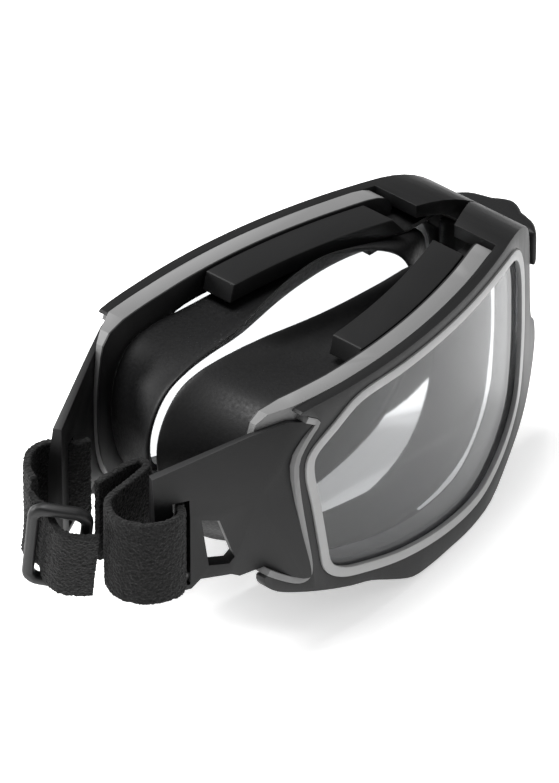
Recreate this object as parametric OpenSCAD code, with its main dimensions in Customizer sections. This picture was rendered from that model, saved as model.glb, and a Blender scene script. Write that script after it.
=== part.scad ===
// Folding sports protective goggles, shown folded flat at the nose bridge.
// Each half is drawn in its own frame: x outward from the fold plane, y forward to the nose, z up.
// right() and left() then place it, with the front of the goggles facing -Y and the origin
// under the middle of the folded goggles.

/* [Wrap] */
// Radius of the outer face of each half in plan
wrap_r = 150; // [140:1:165]
// Forward position of the wrap axis
wrap_y = 46.9; // [44:0.1:50]
// Outward reach of the front face at its widest
wrap_reach = 28.1; // [27:0.1:31]

/* [Frame] */
// Height of the brow above the resting face
frame_h = 58.3; // [50:0.5:68]
// Thickness of the black front shell
shell_t = 2.3; // [1.8:0.1:3]
// Thickness of the grey carrier behind it
carrier_t = 4.2; // [3:0.1:5]
// Width of the grey line round the arm
trim_w = 1.3; // [0.8:0.1:1.5]

/* [Lens] */
// Thickness of the lens
lens_t = 1.5; // [1:0.1:1.8]
// Visible width of the grey seal round the lens
seal_w = 2.1; // [1.5:0.1:3]
// How far the seal stands proud of the shell
seal_proud = 0.4; // [0.2:0.1:1]

/* [Face skirt] */
// Wall of the soft skirt
skirt_wall = 1.6; // [1.2:0.1:2.2]
// Distance from the fold plane to the lip at its closest
lip_gap = 0.9; // [0.6:0.1:2]

/* [Vents] */
// Width of a vent cover
vent_w = 7.6; // [5:0.1:9]
// Height of a vent cover
vent_h = 4; // [3:0.1:4.8]
// Length of the upper vent cover
vent_len = 43; // [30:1:48]
// Length of the lower vent cover
low_vent_len = 24; // [16:1:30]

/* [Arm] */
// Thickness of the arm
arm_t = 3; // [2.4:0.1:3.6]
// Angle between the arm and the fold plane
arm_angle = 25.3; // [24:0.1:27]

/* [Strap] */
// Width of the elastic strap
strap_w = 18.8; // [15:0.1:19]
// Thickness of the elastic strap
strap_t = 1.5; // [1:0.1:1.8]
// Thickness of the buckle's bars
buckle_bar = 2.4; // [2:0.1:3]
// Width of the buckle
buckle_w = 13; // [11:0.5:13.5]

/* [Nose bridge] */
// Forward position of the fold axis
fold_y = 119; // [118:0.5:121]
// Radius of the fold knuckle
knuckle_r = 4.6; // [3.5:0.1:5.5]
// Height of the bridge
bridge_h = 9; // [7:0.5:12]

/* [Hidden] */
$fn = 96;
far = 60;                                // reach of a cutting block
seat_gap = 0.1;                          // clearance between pieces of one half
joint_gap = 0.3;                         // clearance between pieces that move apart
wrap_x = wrap_reach - wrap_r;            // outward position of the wrap axis
k_h = frame_h / 58.3;                    // heights follow the frame's height
shell_back = wrap_r - shell_t;
carrier_out = shell_back - seat_gap;
carrier_in = carrier_out - carrier_t;
skirt_r = carrier_in - seat_gap;         // the skirt's seat on the carrier
lens_back = carrier_out + seat_gap;
lens_front = lens_back + lens_t;
seal_wall = 0.9;                         // the seal's wall round the lens
strip_end = 99.3;                        // where the grey brow strip stops
brow_in = carrier_in - 6;                // inner face of the brow near the nose
brow_z = 51 * k_h;                       // underside of the brow near the nose

black = [0.10, 0.10, 0.11];
soft_black = [0.07, 0.07, 0.07];
grey = [0.62, 0.62, 0.62];

// Catmull-Rom value between p1 and p2
function cr(p0, p1, p2, p3, t) =
    0.5 * ((2 * p1) + (p2 - p0) * t + (2 * p0 - 5 * p1 + 4 * p2 - p3) * t * t
           + (3 * p1 - p0 - 3 * p2 + p3) * t * t * t);
// Smooth closed curve through a few points
function smooth(p, steps = 4) =
    let (n = len(p))
    [for (i = [0 : n - 1], s = [0 : steps - 1])
        cr(p[(i + n - 1) % n], p[i], p[(i + 1) % n], p[(i + 2) % n], s / steps)];
// Smooth open curve through a few points
function smooth_open(p, steps = 5) =
    let (n = len(p) - 1)
    concat([for (i = [0 : n - 1], s = [0 : steps - 1])
                cr(p[max(i - 1, 0)], p[i], p[i + 1], p[min(i + 2, n)], s / steps)], [p[n]]);
function reversed(p) = [for (i = [len(p) - 1 : -1 : 0]) p[i]];
// Unit vector to the right of the way from a to b
function side(a, b) = let (d = b - a) [d[1], -d[0]] / norm(d);
// A closed outline, run clockwise, moved inward by d
function shift(p, d) =
    let (n = len(p)) [for (i = [0 : n - 1]) p[i] + d * side(p[(i + n - 1) % n], p[(i + 1) % n])];
function shift_open(p, d) =
    let (n = len(p) - 1) [for (i = [0 : n]) p[i] + d * side(p[max(i - 1, 0)], p[min(i + 1, n)])];
// A closed band between a path and its copy moved to the right by w
function band(p, w) = concat(p, reversed(shift_open(p, w)));
function high(p) = [for (q = p) [q[0], q[1] * k_h]];
function x_on(r, y) = wrap_x + sqrt(r * r - (y - wrap_y) * (y - wrap_y));

// Outer edge of the lens seal, clockwise as seen from outside, from the temple end of the brow
seal_edge = smooth(high([
    [45.3, 55.6], [58, 55.8], [72, 55.8], [86, 55.7], [98, 55.4], [106, 54], [110, 48], [111.2, 38],
    [111, 27], [108.8, 16.8], [103, 10.6], [95, 6.6], [86.6, 4.8], [74, 5.6], [59.5, 8.1], [48, 11.2],
    [39.8, 14], [35.2, 18], [33.6, 25], [31.8, 35], [30.2, 43], [31.4, 48], [37.6, 52]]));
// The shell's edge against the arm, from the brow down to the chin
arm_seam = high([[31, 56.6], [34.2, 53.9], [31, 50.4], [28.6, 46], [29.4, 37], [31, 28], [32.2, 20.8],
                 [31.6, 17.8], [28.6, 17.6], [24, 20.4], [20.4, 23.2]]);
// The rest of the shell's edge, from the chin round the nose to the brow
shell_rest = high([[20.2, 21], [23.2, 18.2], [28.3, 15.7], [35.4, 12.8], [42.9, 10.1], [49, 8.2], [56, 4.6],
                   [62.5, 1.6], [68.8, 0.9], [76, 0.6], [85, 0], [94, 0.6], [102.6, 4.5], [110, 8],
                   [115, 11.4], [119.2, 16.6], [121, 21.5], [120, 26.6], [117.2, 30], [116.2, 36],
                   [115.5, 44], [114.4, 52], [111, 56], [105, 58.1], [96, 58.3], [84, 58.3], [70, 58.3],
                   [56, 58.3], [42, 58.3], [29.5, 58.3]]);
shell_edge = reversed(smooth(concat(arm_seam, shell_rest), 3));
carrier_edge = smooth(high([
    [24.5, 58.1], [42, 58.3], [58, 58.3], [74, 58.3], [88, 58.3], [96.5, 58.2], [strip_end, 56], [strip_end, 52],
    [106, 50], [111, 44], [113, 34], [112.6, 24], [109, 14], [102, 7], [94, 3.8], [84, 2.6], [74, 3],
    [62, 5.6], [50, 9.4], [40, 12.8], [32, 17], [25, 23], [21, 31], [20, 41], [21, 51]]), 3);

// ---- solids cut from the wrap ----
// Extrudes an outline drawn in (y, z) outward along x
module outward(len = far) rotate([90, 0, 90]) linear_extrude(len) children();
module wrap_ring(r_in, r_out)
    translate([wrap_x, wrap_y, -5]) difference() {
        cylinder(r = r_out, h = frame_h + 15, $fn = 240);
        translate([0, 0, -1]) cylinder(r = r_in, h = frame_h + 17, $fn = 240);
    }
// The part of a ring of the wrap that lies inside an outline, clear of the other half
module wrapped(r_in, r_out) intersection() {
    wrap_ring(r_in, r_out);
    translate([joint_gap, 0, 0]) outward() children();
}

// Black front shell: the outer frame, with a thicker brow next to the nose
module front_shell() color(black) difference() {
    union() {
        wrapped(shell_back, wrap_r) polygon(shell_edge);
        wrapped(brow_in, shell_back + 0.5) intersection() {
            polygon(shell_edge);
            translate([strip_end + seat_gap, brow_z]) square([far, far]);
        }
    }
    outward() polygon(shift(seal_edge, -seat_gap));
}

// Grey carrier: shows as the strip on the brow and as the line round the arm
module carrier() color(grey) {
    difference() {
        wrapped(carrier_in, carrier_out) difference() {
            polygon(carrier_edge);
            polygon(shift(seal_edge, 3.4));
        }
        arm_frame() translate([-arm_t - seat_gap, -10, -5]) cube([far, 200, frame_h + 15]);
    }
    wrapped(carrier_out - 0.5, wrap_r + 0.1)
        polygon(band(shift_open(smooth_open(arm_seam, 3), seat_gap), trim_w));
}

// Grey seal: a proud lip in front of the lens and a wall round its edge
module lens_seal() color(grey) {
    wrapped(lens_front + seat_gap, wrap_r + seal_proud) difference() {
        polygon(seal_edge);
        polygon(shift(seal_edge, seal_w));
    }
    wrapped(lens_back, lens_front + 2 * seat_gap) difference() {
        polygon(seal_edge);
        polygon(shift(seal_edge, seal_wall));
    }
}

module lens() color([0.75, 0.78, 0.8, 0.35])
    wrapped(lens_back, lens_front) polygon(shift(seal_edge, seal_wall + seat_gap));

// Soft skirt, lofted from its seat on the carrier to the lip against the face
skirt_seat = high([[32, 53.4], [49, 52.4], [66, 52.2], [82, 52.2], [95, 52], [103, 50], [106, 43], [107, 34],
                   [106, 25], [102, 16], [94, 10.5], [82, 9], [68, 9.6], [55, 11.5], [44, 14.5], [34, 18.5],
                   [27, 27], [24, 37], [25, 47]]);
skirt_lip = high([[27, 57.6], [42, 58.2], [58, 58.6], [73, 58.6], [84, 56.2], [92, 52], [96, 45], [97, 34], [95, 23],
                  [89, 13], [78, 7], [64, 5], [49, 7.5], [36, 12], [26, 18.5], [19, 27.5], [15.2, 37.5], [15, 47],
                  [19.5, 54.5]]);
lip_x = [1, 2.4, 6, 7.4, 5.4, 3, 2, 2, 3, 4, 5, 5, 4, 3, 2, 1.4, 1.1, 1, 1];
loft_steps = 9;
// The top and bottom walls stay flat under the vent covers and then flare to the lip
function rise(q) = 1 + 5.4 * pow(min(1, abs(q[1] / k_h - 30) / 22), 4) * max(0.2, min(1, (q[0] - 30) / 18));
function skirt_ring(u, inset) =
    let (seat = smooth(skirt_seat, 3), lip = smooth(skirt_lip, 3), xs = smooth([for (x = lip_x) [x, 0]], 3),
         flat = [for (i = [0 : len(seat) - 1])
                    let (e = pow(u, rise(seat[i]))) seat[i] * (1 - e) + lip[i] * e],
         edge = shift(flat, inset))
    [for (i = [0 : len(seat) - 1])
        let (x0 = x_on(skirt_r, edge[i][1] > 0 ? edge[i][0] : 0), x1 = max(lip_gap, xs[i][0]))
        [x0 * (1 - u) + x1 * u, edge[i][0], edge[i][1]]];
module skirt() color(soft_black) {
    rings = concat([for (s = [0 : loft_steps]) skirt_ring(s / loft_steps, 0)],
                   [for (s = [loft_steps : -1 : 0]) skirt_ring(s / loft_steps, skirt_wall)]);
    n = len(rings[0]);
    m = len(rings);
    polyhedron(points = [for (r = rings, p = r) p],
               faces = [for (j = [0 : m - 1], i = [0 : n - 1], k = [0, 1])
                   let (a = j * n + i, b = j * n + (i + 1) % n, c = ((j + 1) % m) * n + i,
                        d = ((j + 1) % m) * n + (i + 1) % n)
                   k == 0 ? [a, b, d] : [a, d, c]]);
}

// Vent cover: a bar with sloping ends that stands over the skirt on a narrow foot
module vent_bar(y0, len, z0, up) {
    r_in = carrier_in - 0.6 - vent_w;
    r_out = carrier_in - 0.6;
    z1 = z0 + up * vent_h;
    wrapped(r_in, r_out) polygon([[y0, z0], [y0 + 1.2, z1], [y0 + len - 3, z1], [y0 + len, z0]]);
    wrapped(r_out - 2.4, carrier_in - 0.02)
        polygon([[y0 + 2, z0], [y0 + 2, z0 + up], [y0 + len - 4, z0 + up], [y0 + len - 4, z0]]);
}
module vent_cover() color(black) vent_bar(52.6, vent_len, 54.2 * k_h, 1);
module lower_vent() color(black) vent_bar(50, low_vent_len, 7.9 * k_h, -1);

// ---- arm: a flat blade with a slot for the strap and a window ----
arm_x = 14.4;                            // outward position of the arm's rear end
arm_y = 0.5;
slot_u = [3.9, 7.4];                     // the strap slot, from the rear end
slot_pad = 0.5;                          // room above and below the strap
strap_z = 24.8;                          // lower edge of the strap
arm_pts = [[0, 50.4], [20.7, 54.8], [38, 57.2], [38, 17], [31, 17], [16.1, 24.4], [9.6, 25],
           [7.6, 23.2], [0.6, 23.2], [0, 25]];
// The arm stops short of the grey line along the seam
arm_zone = concat(shift_open(smooth_open(arm_seam, 3), trim_w + 2 * seat_gap), high([[-30, 15], [-30, 70]]));
module arm_frame() translate([arm_x, arm_y, 0]) rotate([0, 0, -arm_angle]) children();
module blade_cut(p) translate([-far / 2, 0, 0]) outward() polygon(p);
module arm() color(black) intersection() {
    arm_blade();
    outward() polygon(arm_zone);
}
module arm_blade() arm_frame() difference() {
    translate([-arm_t, 0, 0]) outward(arm_t) polygon(high(arm_pts));
    blade_cut([[slot_u[0], strap_z - slot_pad], [slot_u[0], strap_z + strap_w + slot_pad],
               [slot_u[1], strap_z + strap_w + slot_pad], [slot_u[1], strap_z - slot_pad]]);
    blade_cut(high([[9.8, 39], [13.6, 37.9], [16.8, 28.4], [15.6, 27.1], [11.3, 27.8]]));
    // the outer face falls away to the brow and to the lens from one raised point
    translate([0, 21.8, 40.5 * k_h]) rotate([0, -7, 0]) translate([0, -60, 0]) cube([20, 120, 60]);
    translate([0, 21.8, 40.5 * k_h]) rotate([24, 0, 0]) rotate([0, 0, 7]) translate([0, 0, -60])
        cube([20, 60, 100]);
}

// ---- nose bridge: two soft lobes that meet at the fold axis ----
bridge_z = brow_z - joint_gap - bridge_h;
carrier_end = 113.3;                     // the carrier and the shell stop short of these
shell_end = 116.8;                       // forward positions at the bridge's height
lobe = [[3.4, 108], [9, 108], [13.2, 112.6], [11.6, 117.6], [8.6, 120.4], [4.6, 121.6], [0.7, 119],
        [0.7, 113.6]];
// The space outside radius r and behind y_end, which the lobe leaves free
module kept_free(r, y_end) intersection() {
    wrap_ring(r, wrap_r + far);
    translate([-far, 0, 0]) cube([2 * far, y_end, 2 * far]);
}
module lobe_blank() difference() {
    translate([0, 0, bridge_z]) linear_extrude(bridge_h) polygon(lobe);
    kept_free(carrier_in - seat_gap, carrier_end);
    kept_free(shell_back - seat_gap, shell_end);
}
module bridge_pin_lobe() color(soft_black) {
    lobe_blank();
    translate([0, fold_y, bridge_z]) cylinder(r = knuckle_r, h = bridge_h);
}
module bridge_socket_lobe() color(soft_black) difference() {
    lobe_blank();
    translate([0, fold_y, bridge_z - 1]) cylinder(r = knuckle_r + joint_gap, h = bridge_h + 2);
}

// ---- strap: a loop through each arm's slot, and a middle piece threaded in the buckle ----
loop = [[12.6, 10.6], [13.2, 8.4], [15.4, 6.3], [17.8, 4.6], [18.6, 2], [17.9, -1], [15.7, -4]];
right_run = concat(loop, [[12.8, -5.4], [10.2, -5.8], [7, -4.6], [4.5, -2.4], [3.6, 1], [3.1, 6], [2.6, 9.6],
                          [1.6, 12], [-0.2, 12], [-1.1, 9.6], [-1.3, 5], [-1.2, 0.5]]);
left_run = concat(loop, [[13.4, -5.7], [11.2, -6.6]]);
threaded = [[-6.8, 5.4], [-5.4, 3.4], [-2.9, 2], [-1.5, -1.2], [0.6, -3.4], [3, -4], [5.6, -3.7], [8, -3.2]];
module ribbon(path) polygon(band(shift_open(smooth_open(path), -strap_t / 2), strap_t));
module strap_run(path) color(soft_black) translate([0, 0, strap_z]) linear_extrude(strap_w) ribbon(path);

// The buckle hangs behind the fold plane, turned and tilted
buckle_at = [-2.65, -9.3, 32.6];
buckle_turn = 34.8;
buckle_tilt = 17;
buckle_lean = 7;
buckle_depth = 2.4;
edge_room = 0.6;                         // room between the strap's edges and the buckle
module buckle_frame() translate(buckle_at) rotate([0, 0, buckle_turn]) rotate([buckle_tilt, 0, 0])
    rotate([0, buckle_lean, 0]) children();
function corner(cx, cy, r, a0) = [for (s = [0 : 5]) [cx, cy] + r * [cos(a0 - s * 18), sin(a0 - s * 18)]];
function rounded(w, h, r) = concat(
    corner(-w / 2 + r, h / 2 - r, r, 180), corner(w / 2 - r, h / 2 - r, r, 90),
    corner(w / 2 - r, -h / 2 + r, r, 0), corner(-w / 2 + r, -h / 2 + r, r, -90));
module buckle() color(black) {
    h = strap_w + 2 * (edge_room + buckle_bar);
    buckle_frame() rotate([90, 0, 0]) linear_extrude(buckle_depth, center = true) difference() {
        polygon(rounded(buckle_w, h, 3.6));
        polygon(rounded(buckle_w - 2 * buckle_bar, h - 2 * buckle_bar, 1.4));
    }
}
module middle_strap() color(soft_black) buckle_frame()
    linear_extrude(strap_w, center = true) ribbon(threaded);

// ---- placing ----
mid_y = 53.95;                           // forward position of the middle of the whole
module right() translate([0, mid_y, 0]) rotate([0, 0, 180]) children();
module left() mirror([1, 0, 0]) right() children();

right() front_shell();  // right_front_shell
right() carrier();  // right_carrier
right() lens_seal();  // right_lens_seal
right() lens();  // right_lens
right() skirt();  // right_skirt
right() vent_cover();  // right_vent_cover
right() lower_vent();  // right_lower_vent
right() arm();  // right_arm
right() bridge_pin_lobe();  // right_bridge
left() front_shell();  // left_front_shell
left() carrier();  // left_carrier
left() lens_seal();  // left_lens_seal
left() lens();  // left_lens
left() skirt();  // left_skirt
left() vent_cover();  // left_vent_cover
left() lower_vent();  // left_lower_vent
left() arm();  // left_arm
left() bridge_socket_lobe();  // left_bridge
right() strap_run(right_run);  // right_strap
left() strap_run(left_run);  // left_strap
right() middle_strap();
right() buckle();
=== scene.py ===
import math

import bmesh
import bpy
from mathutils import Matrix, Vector, noise


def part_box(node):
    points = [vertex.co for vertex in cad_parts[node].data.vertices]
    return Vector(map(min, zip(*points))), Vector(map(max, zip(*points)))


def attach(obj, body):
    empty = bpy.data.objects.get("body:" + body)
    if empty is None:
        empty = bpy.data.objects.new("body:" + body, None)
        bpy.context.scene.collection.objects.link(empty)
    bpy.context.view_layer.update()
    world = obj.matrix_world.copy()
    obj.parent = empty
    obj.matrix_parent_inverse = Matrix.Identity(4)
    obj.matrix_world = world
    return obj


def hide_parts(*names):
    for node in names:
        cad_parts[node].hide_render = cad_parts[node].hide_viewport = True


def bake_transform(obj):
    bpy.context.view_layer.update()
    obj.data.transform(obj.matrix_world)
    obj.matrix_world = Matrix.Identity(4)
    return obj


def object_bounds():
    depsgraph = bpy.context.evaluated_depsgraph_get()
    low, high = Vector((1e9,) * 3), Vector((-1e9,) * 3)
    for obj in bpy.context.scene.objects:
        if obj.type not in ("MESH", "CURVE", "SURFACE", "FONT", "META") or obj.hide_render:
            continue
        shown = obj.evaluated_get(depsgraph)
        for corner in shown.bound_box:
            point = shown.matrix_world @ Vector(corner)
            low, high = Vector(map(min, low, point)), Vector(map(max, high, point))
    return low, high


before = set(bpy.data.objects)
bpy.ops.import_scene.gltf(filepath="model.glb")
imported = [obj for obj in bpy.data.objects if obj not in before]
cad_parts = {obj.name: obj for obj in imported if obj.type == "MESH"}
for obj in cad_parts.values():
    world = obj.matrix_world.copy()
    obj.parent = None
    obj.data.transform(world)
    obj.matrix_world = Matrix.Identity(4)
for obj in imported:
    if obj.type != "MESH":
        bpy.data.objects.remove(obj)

cad_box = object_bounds()

# ---- camera and studio ----
# The goggles lie folded on a white table, seen from behind their right temple and from above,
# through a long lens. A broad soft light hangs overhead, with weaker ones to the left and in
# front, and the table glows a little so that it stays white.
azimuth, elevation = math.radians(222.1), math.radians(34.4)
to_camera = Vector((math.sin(azimuth) * math.cos(elevation),
                    -math.cos(azimuth) * math.cos(elevation), math.sin(elevation)))
middle = (Vector(cad_box[0]) + Vector(cad_box[1])) / 2
aim = middle + Vector((0.0036, -0.0027, 0.0060))
distance = 2.0
camera_data = bpy.data.cameras.new("camera")
camera_data.sensor_fit = "HORIZONTAL"
camera_data.sensor_width = 36
camera_data.lens = 644
camera_data.clip_end = 50
camera = bpy.data.objects.new("camera", camera_data)
camera.location = aim + to_camera * distance
camera.rotation_euler = to_camera.to_track_quat("Z", "Y").to_euler()
bpy.context.collection.objects.link(camera)
bpy.context.scene.camera = camera

world = bpy.data.worlds.new("studio")
world.use_nodes = True
room_light = world.node_tree.nodes["Background"]
room_light.inputs["Color"].default_value = (1, 1, 1, 1)
room_light.inputs["Strength"].default_value = 0.32
bpy.context.scene.world = world
bpy.context.scene.view_settings.view_transform = "Standard"


def soft_box(name, place, size, power):
    """A square area light that points at the middle of the goggles."""
    data = bpy.data.lights.new(name, "AREA")
    data.size = size
    data.energy = power
    light = bpy.data.objects.new(name, data)
    light.location = middle + Vector(place)
    light.rotation_euler = Vector(place).to_track_quat("Z", "Y").to_euler()
    bpy.context.collection.objects.link(light)


soft_box("overhead", (0.20, 0.15, 1.00), size=0.5, power=13)
soft_box("left", (0.95, 0.35, 0.45), size=0.4, power=9)
soft_box("front", (-0.55, -0.75, 0.35), size=0.6, power=2)

floor_mesh = bpy.data.meshes.new("table")
table = bmesh.new()
bmesh.ops.create_grid(table, x_segments=1, y_segments=1, size=6)
bmesh.ops.translate(table, verts=table.verts, vec=(0, 0, cad_box[0][2]))
table.to_mesh(floor_mesh)
table.free()
floor = bpy.data.objects.new("table", floor_mesh)
bpy.context.collection.objects.link(floor)
white = bpy.data.materials.new("table_white")
white.use_nodes = True
laminate = white.node_tree.nodes["Principled BSDF"]
laminate.inputs["Base Color"].default_value = (0.95, 0.95, 0.95, 1)
laminate.inputs["Roughness"].default_value = 0.8
laminate.inputs["Emission Color"].default_value = (1, 1, 1, 1)
laminate.inputs["Emission Strength"].default_value = 0.5
floor_mesh.materials.append(white)

SIDES = ("right", "left")
weld = 2e-6  # corners nearer than this are one corner

# ---- front shells, vent covers and arms ----
# Hard pieces moulded in black nylon, with a satin spark-eroded skin and small rounded edges.
# The shell and the vent covers snap on to the carrier, and the arm is clipped to its temple end.


def satin_plastic(name, dark, light, roughness, specular):
    """Moulded plastic: a fine grain, slow changes of gloss, and edges rubbed a little paler."""
    material = bpy.data.materials.new(name)
    material.use_nodes = True
    nodes, links = material.node_tree.nodes, material.node_tree.links
    shader = nodes["Principled BSDF"]
    shader.inputs["Specular IOR Level"].default_value = specular
    place = nodes.new("ShaderNodeTexCoord")
    clouds = nodes.new("ShaderNodeTexNoise")
    clouds.inputs["Scale"].default_value = 90
    clouds.inputs["Detail"].default_value = 4
    links.new(place.outputs["Object"], clouds.inputs["Vector"])
    gloss = nodes.new("ShaderNodeMapRange")
    gloss.inputs["To Min"].default_value = roughness - 0.07
    gloss.inputs["To Max"].default_value = roughness + 0.07
    links.new(clouds.outputs["Fac"], gloss.inputs["Value"])
    links.new(gloss.outputs["Result"], shader.inputs["Roughness"])
    edges = nodes.new("ShaderNodeNewGeometry")
    worn = nodes.new("ShaderNodeMapRange")
    worn.inputs["From Min"].default_value = 0.51
    worn.inputs["From Max"].default_value = 0.62
    links.new(edges.outputs["Pointiness"], worn.inputs["Value"])
    tone = nodes.new("ShaderNodeMix")
    tone.data_type = "RGBA"
    tone.inputs["A"].default_value = (*dark, 1)
    tone.inputs["B"].default_value = (*light, 1)
    links.new(worn.outputs["Result"], tone.inputs["Factor"])
    links.new(tone.outputs["Result"], shader.inputs["Base Color"])
    grain = nodes.new("ShaderNodeTexNoise")
    grain.inputs["Scale"].default_value = 2600
    grain.inputs["Detail"].default_value = 2
    links.new(place.outputs["Object"], grain.inputs["Vector"])
    bump = nodes.new("ShaderNodeBump")
    bump.inputs["Strength"].default_value = 0.35
    bump.inputs["Distance"].default_value = 0.00004
    links.new(grain.outputs["Fac"], bump.inputs["Height"])
    links.new(bump.outputs["Normal"], shader.inputs["Normal"])
    return material


def merged_copy(node):
    """A copy of a CAD node's faces with the doubled corners merged and flat faces made whole."""
    bm = bmesh.new()
    bm.from_mesh(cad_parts[node].data)
    bmesh.ops.remove_doubles(bm, verts=bm.verts, dist=weld)
    bmesh.ops.dissolve_limit(bm, angle_limit=math.radians(0.8), verts=bm.verts, edges=bm.edges)
    return bm


def place_piece(name, bm, material, body, nodes):
    """Makes the piece from its bmesh, paints it, and lets it ride and stand for its nodes."""
    mesh = bpy.data.meshes.new(name)
    for face in bm.faces:
        face.smooth = True
    bm.to_mesh(mesh)
    bm.free()
    mesh.materials.append(material)
    piece = bpy.data.objects.new(name, mesh)
    bpy.context.collection.objects.link(piece)
    if body:
        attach(piece, body)
    if nodes:
        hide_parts(*nodes)
    return piece


def moulded(node, name, material, body, edge):
    """A hard piece: the node's own shape with its edges rounded as a mould leaves them."""
    piece = place_piece(name, merged_copy(node), material, body, [node])
    rounding = piece.modifiers.new("rounded_edges", "BEVEL")
    rounding.width = edge
    rounding.segments = 3
    rounding.limit_method = "ANGLE"
    rounding.angle_limit = math.radians(28)
    rounding.harden_normals = True


black = satin_plastic("black_nylon", (0.0035, 0.0035, 0.0037), (0.012, 0.012, 0.0125),
                      roughness=0.46, specular=0.28)
for side in SIDES:
    half = side + "_half"
    moulded(side + "_front_shell", side + "_shell", black, half, edge=0.0004)
    moulded(side + "_vent_cover", side + "_vent", black, half, edge=0.0005)
    moulded(side + "_lower_vent", side + "_vent_below", black, half, edge=0.0005)
    moulded(side + "_arm", side + "_temple_arm", black, half, edge=0.0004)

# ---- buckle ----
# A moulded black ring with rounded bars that the strap threads over and under.
moulded("buckle", "strap_ring", black, "strap_buckle", edge=0.0008)

# ---- carriers and lens seals ----
# The carrier is the inner frame: its rim shows light grey along the brow and round the arm, and
# its inner wall is lined in the skirt's black. The seal is a grey rubber rim round the lens edge.
wrap_centre = {"right": (0.1219, 0.00705), "left": (-0.1219, 0.00705)}


def black_lining(material, centre, lining_radius):
    """Paints a carrier black wherever it is nearer the wrap axis than lining_radius."""
    lining_blur = 0.0001
    nodes, links = material.node_tree.nodes, material.node_tree.links
    shader = nodes["Principled BSDF"]
    place = nodes.new("ShaderNodeTexCoord")
    from_axis = nodes.new("ShaderNodeVectorMath")
    from_axis.operation = "SUBTRACT"
    from_axis.inputs[1].default_value = (*centre, 0)
    links.new(place.outputs["Object"], from_axis.inputs[0])
    flat = nodes.new("ShaderNodeVectorMath")
    flat.operation = "MULTIPLY"
    flat.inputs[1].default_value = (1, 1, 0)
    links.new(from_axis.outputs["Vector"], flat.inputs[0])
    radius = nodes.new("ShaderNodeVectorMath")
    radius.operation = "LENGTH"
    links.new(flat.outputs["Vector"], radius.inputs[0])
    rim = nodes.new("ShaderNodeMapRange")
    rim.inputs["From Min"].default_value = lining_radius
    rim.inputs["From Max"].default_value = lining_radius + lining_blur
    links.new(radius.outputs["Value"], rim.inputs["Value"])
    lined = nodes.new("ShaderNodeMix")
    lined.data_type = "RGBA"
    lined.inputs["A"].default_value = (0.005, 0.005, 0.0053, 1)
    links.new(rim.outputs["Result"], lined.inputs["Factor"])
    links.new(shader.inputs["Base Color"].links[0].from_socket, lined.inputs["B"])
    links.new(lined.outputs["Result"], shader.inputs["Base Color"])


inner_wall = {}
lining_depth = 0.0003
pale = satin_plastic("grey_seal", (0.29, 0.29, 0.29), (0.35, 0.35, 0.35),
                     roughness=0.42, specular=0.4)
for side in SIDES:
    centre = Vector(wrap_centre[side])
    inner_wall[side] = min((vert.co.xy - centre).length
                           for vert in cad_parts[side + "_carrier"].data.vertices)
    grey = satin_plastic(side + "_grey_nylon", (0.14, 0.14, 0.14), (0.19, 0.19, 0.19),
                         roughness=0.5, specular=0.4)
    black_lining(grey, centre, inner_wall[side] + lining_depth)
    half = side + "_half"
    moulded(side + "_carrier", side + "_inner_frame", grey, half, edge=0.0003)
    moulded(side + "_lens_seal", side + "_seal", pale, half, edge=0.00025)

# ---- lenses ----
# One curved pane a side, cut from clear polycarbonate with a hard coat and polished edges. The
# node's outer rim gives its outline, which is laid flat, filled, and bent to the wrap again.
clear = bpy.data.materials.new("clear_polycarbonate")
clear.use_nodes = True
glass = clear.node_tree.nodes["Principled BSDF"]
# The grey base colour tints what is seen through the pane, and the small share of it that is not
# clear paints a faint hazy reflection on the lens.
glass.inputs["Base Color"].default_value = (0.56, 0.57, 0.58, 1)
glass.inputs["IOR"].default_value = 1.3
glass.inputs["Transmission Weight"].default_value = 0.98
smears = clear.node_tree.nodes.new("ShaderNodeTexNoise")
smears.inputs["Scale"].default_value = 60
smears.inputs["Detail"].default_value = 5
lens_place = clear.node_tree.nodes.new("ShaderNodeTexCoord")
clear.node_tree.links.new(lens_place.outputs["Object"], smears.inputs["Vector"])
polish = clear.node_tree.nodes.new("ShaderNodeMapRange")
polish.inputs["To Min"].default_value = 0.015
polish.inputs["To Max"].default_value = 0.06
clear.node_tree.links.new(smears.outputs["Fac"], polish.inputs["Value"])
clear.node_tree.links.new(polish.outputs["Result"], glass.inputs["Roughness"])
sharp_rim = math.radians(40)
strip = 0.001
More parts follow.
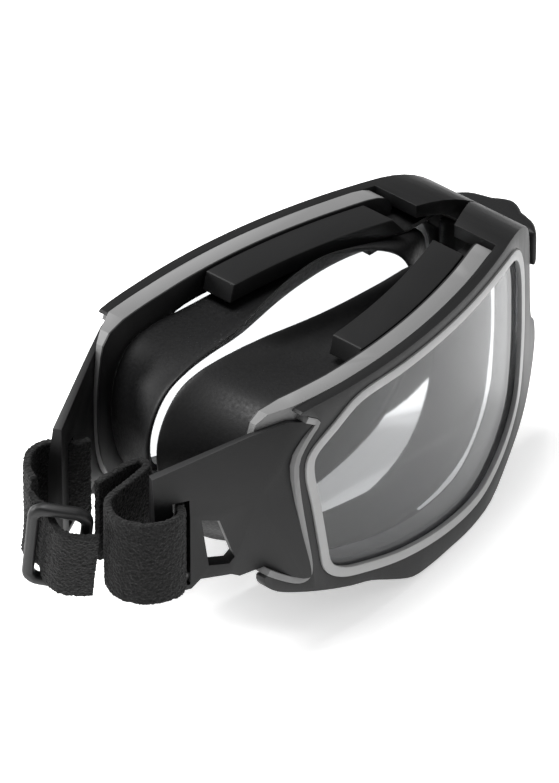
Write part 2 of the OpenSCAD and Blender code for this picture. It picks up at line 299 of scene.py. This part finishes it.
for side in SIDES:
    cut = bmesh.new()
    cut.from_mesh(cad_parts[side + "_lens"].data)
    bmesh.ops.remove_doubles(cut, verts=cut.verts, dist=weld)
    centre = Vector(wrap_centre[side])
    radii = [(vert.co.xy - centre).length for vert in cut.verts]
    inner, outer = min(radii), max(radii)
    face_edge = outer - (outer - inner) / 10
    rim = [edge for edge in cut.edges if edge.calc_face_angle(0) > sharp_rim
           and all((vert.co.xy - centre).length > face_edge for vert in edge.verts)]
    corners = {vert for edge in rim for vert in edge.verts}
    bmesh.ops.delete(cut, geom=[vert for vert in cut.verts if vert not in corners], context="VERTS")
    bmesh.ops.delete(cut, geom=cut.faces[:], context="FACES_ONLY")
    bmesh.ops.delete(cut, geom=[edge for edge in cut.edges if edge not in rim], context="EDGES")
    for vert in cut.verts:
        vert.co.x = 0
    bmesh.ops.contextual_create(cut, geom=cut.edges[:])
    low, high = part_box(side + "_lens")
    for step in range(1, int((high[1] - low[1]) / strip)):
        bmesh.ops.bisect_plane(cut, geom=cut.verts[:] + cut.edges[:] + cut.faces[:], dist=1e-7,
                               plane_co=(0, low[1] + step * strip, 0), plane_no=(0, 1, 0))
    outward = -1 if side == "right" else 1
    for vert in cut.verts:
        vert.co.x = centre.x + outward * math.sqrt(outer ** 2 - (vert.co.y - centre.y) ** 2)
    bmesh.ops.recalc_face_normals(cut, faces=cut.faces)
    if cut.faces[:][0].normal.x * outward < 0:
        bmesh.ops.reverse_faces(cut, faces=cut.faces)
    bmesh.ops.solidify(cut, geom=cut.faces[:], thickness=outer - inner)
    piece = place_piece(side + "_pane", cut, clear, side + "_half", [side + "_lens"])
    piece.data.set_sharp_from_angle(angle=math.radians(35))

# ---- face skirts ----
# A soft black rubber skirt a side, moulded in one with its seat, with a thin lip that flares out
# to lie on the face. It is pressed on to the back of the carrier.


def rubber(name):
    """Soft black rubber: a dusty satin sheen broken up by a fine speckle."""
    material = bpy.data.materials.new(name)
    material.use_nodes = True
    nodes, links = material.node_tree.nodes, material.node_tree.links
    shader = nodes["Principled BSDF"]
    shader.inputs["Base Color"].default_value = (0.004, 0.004, 0.0043, 1)
    shader.inputs["Specular IOR Level"].default_value = 0.3
    place = nodes.new("ShaderNodeTexCoord")
    speckle = nodes.new("ShaderNodeTexNoise")
    speckle.inputs["Scale"].default_value = 1500
    speckle.inputs["Detail"].default_value = 3
    links.new(place.outputs["Object"], speckle.inputs["Vector"])
    gloss = nodes.new("ShaderNodeMapRange")
    gloss.inputs["From Min"].default_value = 0.3
    gloss.inputs["From Max"].default_value = 0.7
    gloss.inputs["To Min"].default_value = 0.46
    gloss.inputs["To Max"].default_value = 0.62
    links.new(speckle.outputs["Fac"], gloss.inputs["Value"])
    links.new(gloss.outputs["Result"], shader.inputs["Roughness"])
    bump = nodes.new("ShaderNodeBump")
    bump.inputs["Strength"].default_value = 0.5
    bump.inputs["Distance"].default_value = 0.00005
    links.new(speckle.outputs["Fac"], bump.inputs["Height"])
    links.new(bump.outputs["Normal"], shader.inputs["Normal"])
    return material


skirt_rubber = rubber("skirt_rubber")
any_angle = 3.1
for side in SIDES:
    shell = bmesh.new()
    shell.from_mesh(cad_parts[side + "_skirt"].data)
    bmesh.ops.remove_doubles(shell, verts=shell.verts, dist=weld)
    bmesh.ops.join_triangles(shell, faces=shell.faces, angle_face_threshold=any_angle,
                             angle_shape_threshold=any_angle)
    skirt = place_piece(side + "_face_skirt", shell, skirt_rubber, side + "_half",
                        [side + "_skirt"])
    melt = skirt.modifiers.new("melted_edges", "SUBSURF")
    melt.levels = 2
    melt.render_levels = 2

# ---- brow webs ----
# A thin web of the same rubber behind each brow, near the nose. It closes the space between the
# skirt and the carrier, where no vent cover lies.
web_fold_side, into_carrier = 0.0065, 0.0033
web_rear, web_length = -0.0330, 0.0230
web_height, web_rise, web_thickness = 0.0528, 0.0016, 0.0010
for side in SIDES:
    outward = -1 if side == "right" else 1
    centre = Vector(wrap_centre[side])
    web_radius = inner_wall[side] + into_carrier
    web = bmesh.new()
    bmesh.ops.create_grid(web, x_segments=10, y_segments=14, size=1)
    for vert in web.verts:
        across, along = (vert.co.x + 1) / 2, (vert.co.y + 1) / 2
        y = web_rear - web_length * along
        reach = math.sqrt(web_radius ** 2 - (y - centre.y) ** 2) - abs(centre.x)
        vert.co = Vector((outward * (web_fold_side + (reach - web_fold_side) * across), y,
                          web_height + web_rise * across ** 2))
    bmesh.ops.recalc_face_normals(web, faces=web.faces)
    if web.faces[:][0].normal.z < 0:
        bmesh.ops.reverse_faces(web, faces=web.faces)
    bmesh.ops.solidify(web, geom=web.faces[:], thickness=web_thickness)
    bmesh.ops.recalc_face_normals(web, faces=web.faces)
    piece = place_piece(side + "_brow_web", web, skirt_rubber, side + "_half", [])
    piece.data.set_sharp_from_angle(angle=math.radians(40))

# ---- nose bridge ----
# One flexible rubber link between the halves, which bends open when the goggles are worn; here it
# is one fixed piece that rides neither half.


def evened(part_nodes, voxel, passes):
    """A soft piece's mesh: the nodes' shape in even faces, with every edge melted round."""
    mesh = bpy.data.meshes.new("uneven")
    bm = bmesh.new()
    for node in part_nodes:
        bm.from_mesh(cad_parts[node].data)
    bmesh.ops.remove_doubles(bm, verts=bm.verts, dist=weld)
    bm.to_mesh(mesh)
    bm.free()
    holder = bpy.data.objects.new("even", mesh)
    bpy.context.collection.objects.link(holder)
    remesh = holder.modifiers.new("even", "REMESH")
    remesh.mode = "VOXEL"
    remesh.voxel_size = voxel
    soften = holder.modifiers.new("soften", "SMOOTH")
    soften.factor = 0.5
    soften.iterations = passes
    soft = bmesh.new()
    soft.from_object(holder, bpy.context.evaluated_depsgraph_get())
    bpy.data.objects.remove(holder)
    return soft


lobes = ["right_bridge", "left_bridge"]
link = evened(lobes, voxel=0.0006, passes=30)
bridge = place_piece("nose_bridge", link, skirt_rubber, None, lobes)
low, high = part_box("left_bridge")
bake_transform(bridge)

# ---- strap ----
# Elastic webbing 18.8 mm wide with a looped pile on both faces, black. It runs through the slot in
# each arm, doubles back, and threads through the ring.
pile = bpy.data.materials.new("looped_elastic")
pile.use_nodes = True
nodes, links = pile.node_tree.nodes, pile.node_tree.links
shader = nodes["Principled BSDF"]
shader.inputs["Roughness"].default_value = 0.95
shader.inputs["Sheen Weight"].default_value = 0.02
shader.inputs["Sheen Roughness"].default_value = 0.5
pile_place = nodes.new("ShaderNodeTexCoord")
loops = nodes.new("ShaderNodeTexVoronoi")
loops.inputs["Scale"].default_value = 1700
links.new(pile_place.outputs["Object"], loops.inputs["Vector"])
tufts = nodes.new("ShaderNodeTexNoise")
tufts.inputs["Scale"].default_value = 2400
tufts.inputs["Detail"].default_value = 4
links.new(pile_place.outputs["Object"], tufts.inputs["Vector"])
shade = nodes.new("ShaderNodeValToRGB")
shade.color_ramp.elements[0].position = 0.44
shade.color_ramp.elements[0].color = (0.001, 0.001, 0.001, 1)
shade.color_ramp.elements[1].position = 0.62
shade.color_ramp.elements[1].color = (0.008, 0.008, 0.0082, 1)
links.new(tufts.outputs["Fac"], shade.inputs["Fac"])
links.new(shade.outputs["Color"], shader.inputs["Base Color"])
pile_bump = nodes.new("ShaderNodeBump")
pile_bump.inputs["Strength"].default_value = 0.9
pile_bump.inputs["Distance"].default_value = 0.0003
links.new(loops.outputs["Distance"], pile_bump.inputs["Height"])
links.new(pile_bump.outputs["Normal"], shader.inputs["Normal"])


def webbing(node, name, body):
    """A stretch of strap with its pile raised in small tufts."""
    bm = evened([node], voxel=0.00026, passes=3)
    tuft, depth = 2300, 0.00026
    bm.normal_update()
    for vert in bm.verts:
        vert.co += vert.normal * depth * noise.noise(vert.co * tuft)
    place_piece(name, bm, pile, body, [node])


webbing("right_strap", "right_strap_run", "right_strap_loop")
webbing("left_strap", "left_strap_run", "left_strap_loop")
webbing("middle_strap", "strap_through_ring", "left_strap_loop")
